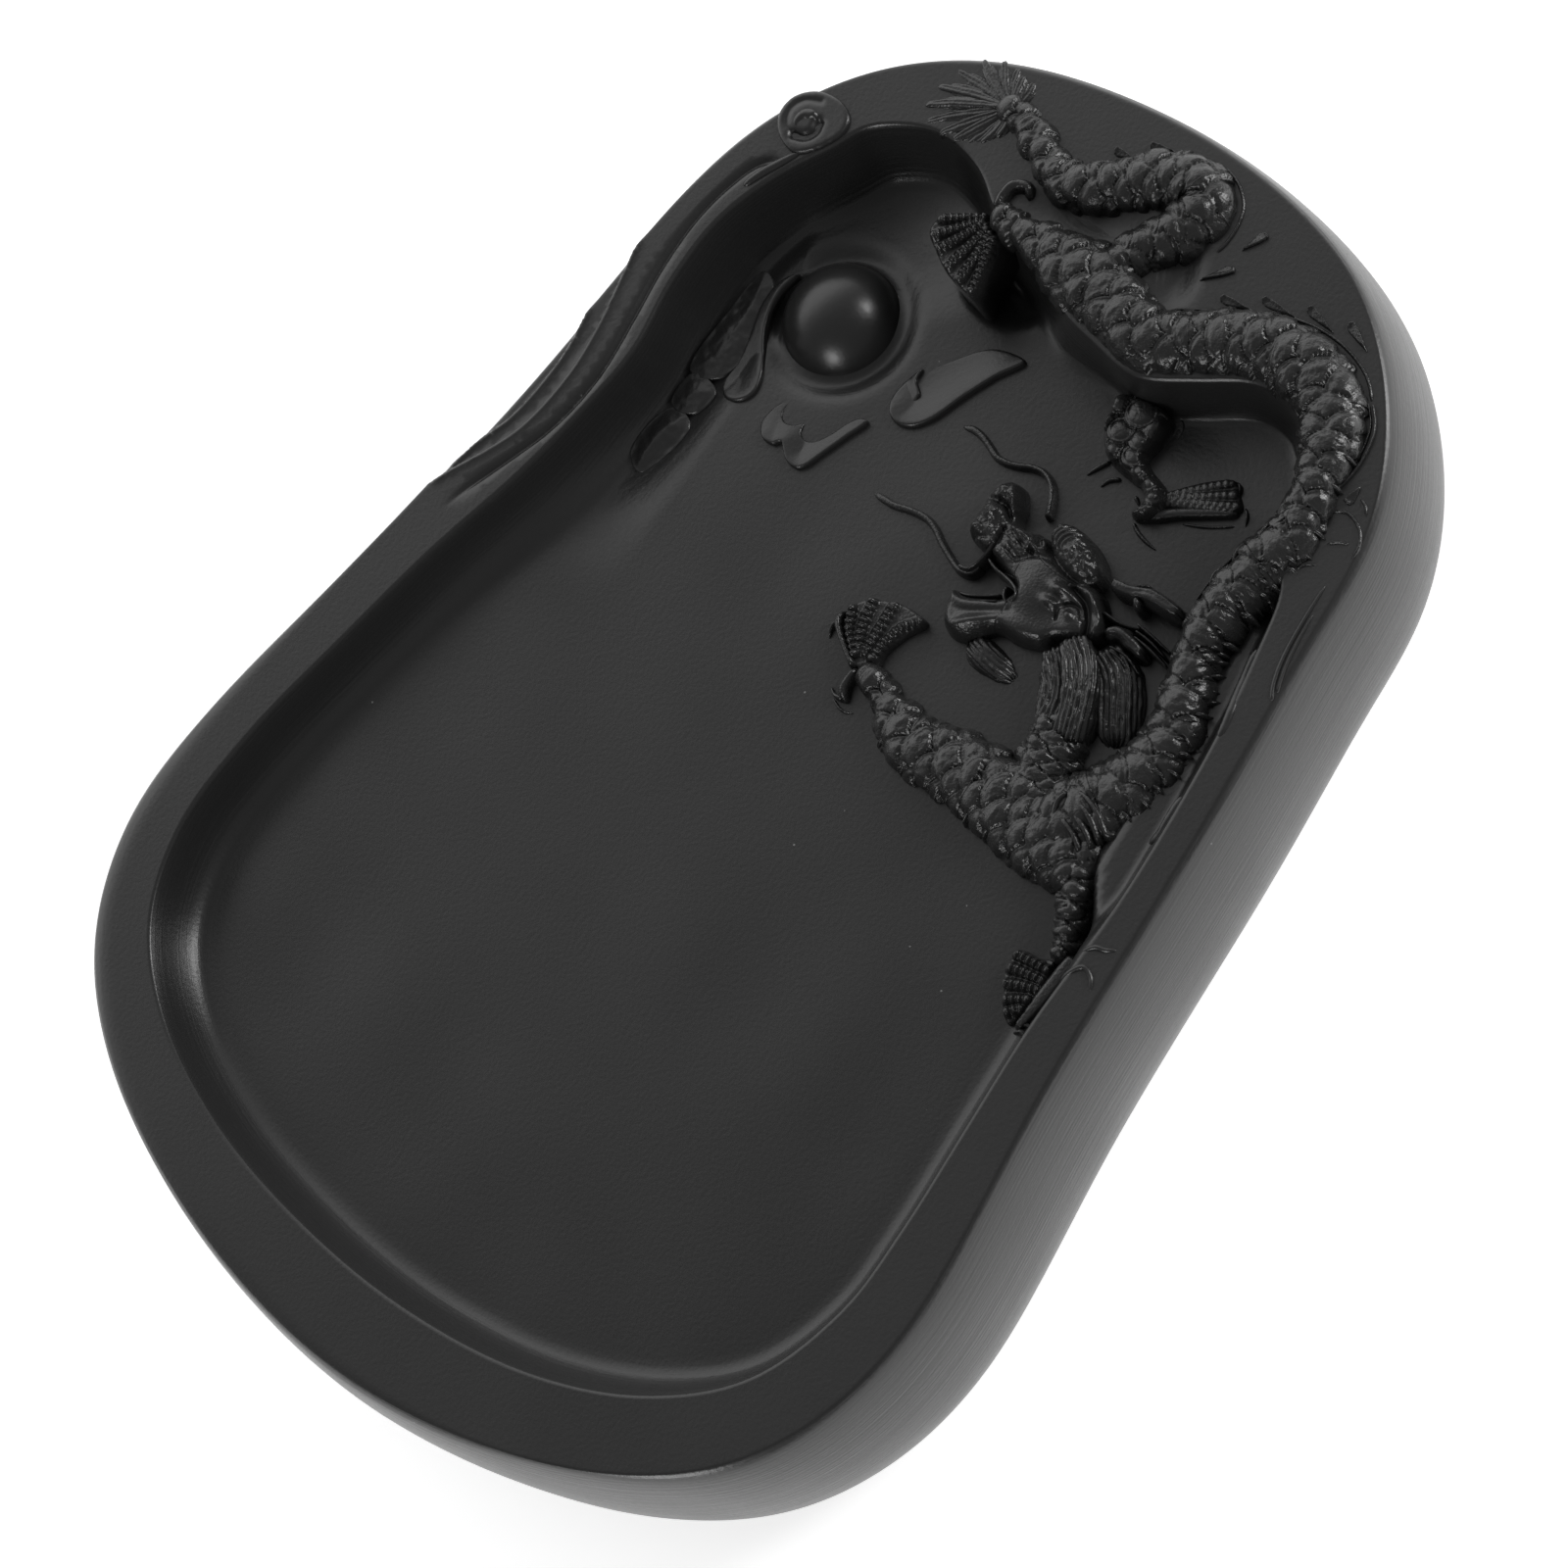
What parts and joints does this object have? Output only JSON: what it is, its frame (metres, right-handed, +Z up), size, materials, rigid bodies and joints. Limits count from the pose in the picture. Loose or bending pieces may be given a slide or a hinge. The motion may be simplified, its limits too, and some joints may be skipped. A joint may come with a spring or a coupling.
{
  "type": "inkstone",
  "caption": "Oval black inkstone: grinding basin deepening to an ink pool, raised rim, dragon in relief chasing a pearl among clouds.",
  "frame": {"origin": "centre of the object's box at the underside", "axes": "+Z up out of the basin, +Y along the length towards the ink pool and the dragon's tail, +X across the width towards the side the dragon lies on"},
  "size_m": [0.0936, 0.1342, 0.027],
  "materials": {
    "stone_body": "honed satin black, fine lengthwise rubbing marks on the side wall",
    "dragon_relief": "black, waxed, glossy on the high spots and dull in the cuts",
    "smooth_carving": "honed satin black",
    "polished_pearl": "polished black"
  },
  "bodies": {
    "root": {"cloud_hook": "smooth_carving", "cloud_pearl": "smooth_carving", "cloud_scroll": "smooth_carving", "dorsal_spine_1": "dragon_relief", "dorsal_spine_2": "dragon_relief", "dorsal_spine_3": "dragon_relief", "dorsal_spine_4": "dragon_relief", "dorsal_spine_5": "dragon_relief", "dorsal_spine_6": "dragon_relief", "dorsal_spine_7": "dragon_relief", "dorsal_spine_8": "dragon_relief", "dorsal_spine_9": "dragon_relief", "dragon_back": "dragon_relief", "dragon_chest": "dragon_relief", "dragon_hip": "dragon_relief", "dragon_neck": "dragon_relief", "dragon_tail": "dragon_relief", "dragon_tail_root": "dragon_relief", "foreclaw_left": "dragon_relief", "foreleg_left": "dragon_relief", "foreleg_right": "dragon_relief", "forepaw_left": "dragon_relief", "forepaw_right": "dragon_relief", "head_brow": "dragon_relief", "head_lower_jaw": "dragon_relief", "head_skull": "dragon_relief", "head_snout": "dragon_relief", "hindclaw_lower": "dragon_relief", "hindclaw_upper": "dragon_relief", "hindleg_lower": "dragon_relief", "hindpaw_lower": "dragon_relief", "hindpaw_upper": "dragon_relief", "horn_lower": "dragon_relief", "horn_upper": "dragon_relief", "mane_front": "dragon_relief", "mane_middle": "dragon_relief", "mane_rear": "dragon_relief", "pearl": "polished_pearl", "pool_rock_lower": "smooth_carving", "pool_rock_middle": "smooth_carving", "pool_rock_upper": "smooth_carving", "rim_curl_lower": "smooth_carving", "rim_curl_upper": "smooth_carving", "rim_line": "smooth_carving", "rim_ribbon": "smooth_carving", "rim_wave_lower": "smooth_carving", "rim_wave_upper": "smooth_carving", "scroll_band": "smooth_carving", "scroll_crest": "smooth_carving", "stone_slab": "stone_body", "tail_fin": "dragon_relief", "whisker_lower": "dragon_relief", "whisker_upper": "dragon_relief"}
  },
  "joints": []
}
